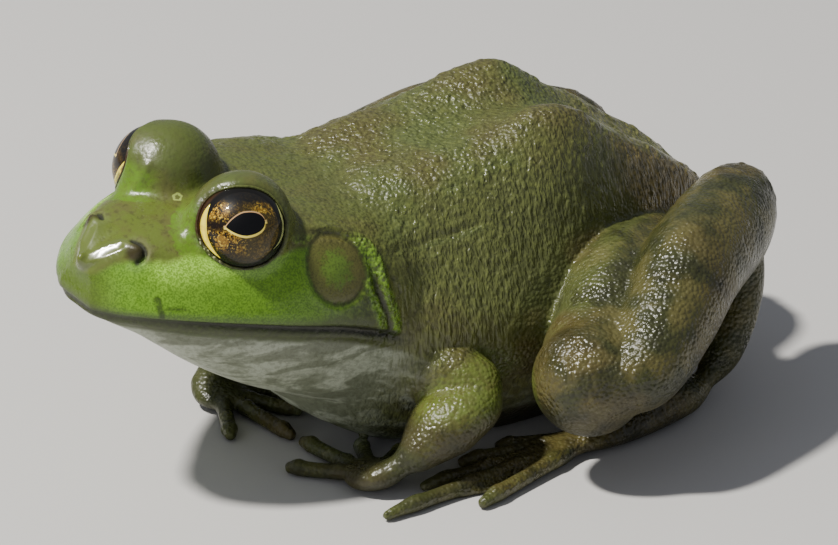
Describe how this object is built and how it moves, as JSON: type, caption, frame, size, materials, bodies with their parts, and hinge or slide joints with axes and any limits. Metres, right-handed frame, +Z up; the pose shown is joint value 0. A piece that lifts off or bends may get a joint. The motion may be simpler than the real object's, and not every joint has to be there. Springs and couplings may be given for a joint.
{
  "type": "bullfrog",
  "caption": "Life-size still model of an adult bullfrog sitting with folded hind legs, hands turned in and head turned slightly to its left.",
  "frame": {"origin": "on the floor under the hump of the back, in the flat that the belly rests on", "axes": "+Z up, -Y towards the snout, +X towards the frog's left side"},
  "size_m": [0.1059, 0.1213, 0.0553],
  "materials": {
    "skin_head": "wet, fine-grained bright green skin",
    "skin_throat": "wet, smooth, whitish skin marbled with dark olive",
    "skin_body": "wet, granular olive-green skin",
    "skin_limb": "wet olive-brown skin with faint darker bars",
    "skin_eardrum": "thin, taut, granular olive-brown skin",
    "eye": "wet, clear cornea over a gold-flecked iris"
  },
  "bodies": {
    "root": {"head": "skin_head", "lower_jaw": "skin_throat", "eye_left": "eye", "eye_right": "eye", "eardrum_left": "skin_eardrum", "eardrum_right": "skin_eardrum", "trunk": "skin_body", "rump": "skin_body", "upper_arm_left": "skin_body", "upper_arm_right": "skin_body", "forearm_left": "skin_body", "forearm_right": "skin_body", "hand_left": "skin_limb", "hand_right": "skin_limb", "thigh_left": "skin_body", "thigh_right": "skin_body", "shank_left": "skin_limb", "shank_right": "skin_limb", "ankle_left": "skin_limb", "ankle_right": "skin_limb", "foot_left": "skin_limb", "foot_right": "skin_limb"}
  },
  "joints": []
}
